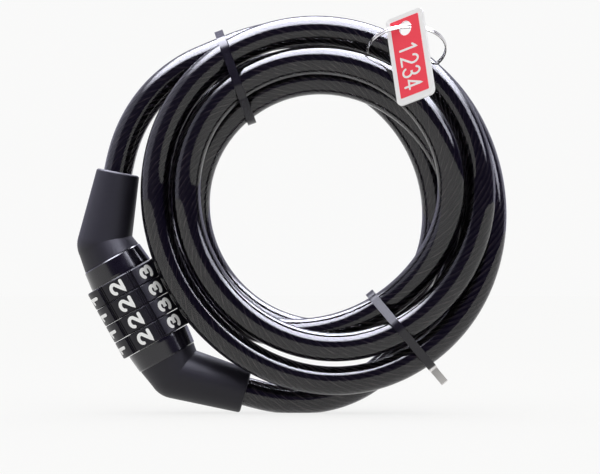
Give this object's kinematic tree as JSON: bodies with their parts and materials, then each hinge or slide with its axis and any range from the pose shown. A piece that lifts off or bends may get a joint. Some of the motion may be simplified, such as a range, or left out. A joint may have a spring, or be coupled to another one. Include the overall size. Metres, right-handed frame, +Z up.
{
  "type": "coiled combination cable lock",
  "caption": "Combination lock on a clear-sheathed steel cable, coiled and tied, with turning number dials, a pull-out plug and a tag on a split ring.",
  "frame": {"origin": "bottom centre of the bounding box, on the floor the coil stands on", "axes": "+X right, +Z up, +Y away from the viewer along the coil's axis"},
  "size_m": [0.1796, 0.0619, 0.1673],
  "materials": {
    "clear_jacket": "smoky clear, glossy",
    "steel_rope": "twisted strands",
    "boot_plastic": "fine grain",
    "gloss_black": "glossy",
    "tie_nylon": "glossy",
    "lock_steel": "turned",
    "code_brass": "turned",
    "ring_steel": "polished wire",
    "tag_white": "smooth",
    "tag_red": "printed panel"
  },
  "bodies": {
    "lock_and_cable": {"coil_jacket": "clear_jacket", "coil_core": "steel_rope", "lower_lead_jacket": "clear_jacket", "lower_lead_core": "steel_rope", "lower_boot": "boot_plastic", "lower_ferrule": "lock_steel", "lower_collar": "gloss_black", "upper_collar": "gloss_black", "barrel": "lock_steel", "end_plug": "lock_steel", "detent_leaf": "lock_steel", "cross_pins": "lock_steel", "upper_tie": "tie_nylon", "lower_tie": "tie_nylon"},
    "plug": {"upper_boot": "boot_plastic", "upper_ferrule": "lock_steel", "lock_pin": "lock_steel", "upper_lead_jacket": "clear_jacket", "upper_lead_core": "steel_rope"},
    "dial_1": {"dial_1": "gloss_black", "code_ring_1": "code_brass"},
    "dial_2": {"dial_2": "gloss_black", "code_ring_2": "code_brass"},
    "dial_3": {"dial_3": "gloss_black", "code_ring_3": "code_brass"},
    "dial_4": {"dial_4": "gloss_black", "code_ring_4": "code_brass"},
    "split_ring": {"split_ring": "ring_steel"},
    "tag": {"tag_plate": "tag_white", "tag_label": "tag_red"}
  },
  "joints": [
    {"name": "plug_slide", "type": "slide", "parent": "lock_and_cable", "child": "plug", "axis": [-0.4879, 0, 0.8729], "range_m": [0, 0.04], "deforming": ["upper_lead_jacket", "upper_lead_core"]},
    {"name": "dial_1_spin", "type": "hinge", "parent": "lock_and_cable", "child": "dial_1", "pos_m": [-0.0637, 0.01428, 0.0439], "axis": [0.4879, 0, -0.8729], "continuous": true},
    {"name": "dial_2_spin", "type": "hinge", "parent": "lock_and_cable", "child": "dial_2", "pos_m": [-0.0637, 0.01428, 0.0439], "axis": [0.4879, 0, -0.8729], "continuous": true},
    {"name": "dial_3_spin", "type": "hinge", "parent": "lock_and_cable", "child": "dial_3", "pos_m": [-0.0637, 0.01428, 0.0439], "axis": [0.4879, 0, -0.8729], "continuous": true},
    {"name": "dial_4_spin", "type": "hinge", "parent": "lock_and_cable", "child": "dial_4", "pos_m": [-0.0637, 0.01428, 0.0439], "axis": [0.4879, 0, -0.8729], "continuous": true},
    {"name": "ring_swing", "type": "hinge", "parent": "lock_and_cable", "child": "split_ring", "pos_m": [0.04747, -0.00243, 0.1509], "axis": [-0.042, 0.5509, 0.8335], "range_deg": [-12, 12]},
    {"name": "tag_swing", "type": "hinge", "parent": "split_ring", "child": "tag", "pos_m": [0.0468, -0.01603, 0.15985], "axis": [0.9983, -0.0112, 0.0577], "range_deg": [-30, 6]}
  ]
}
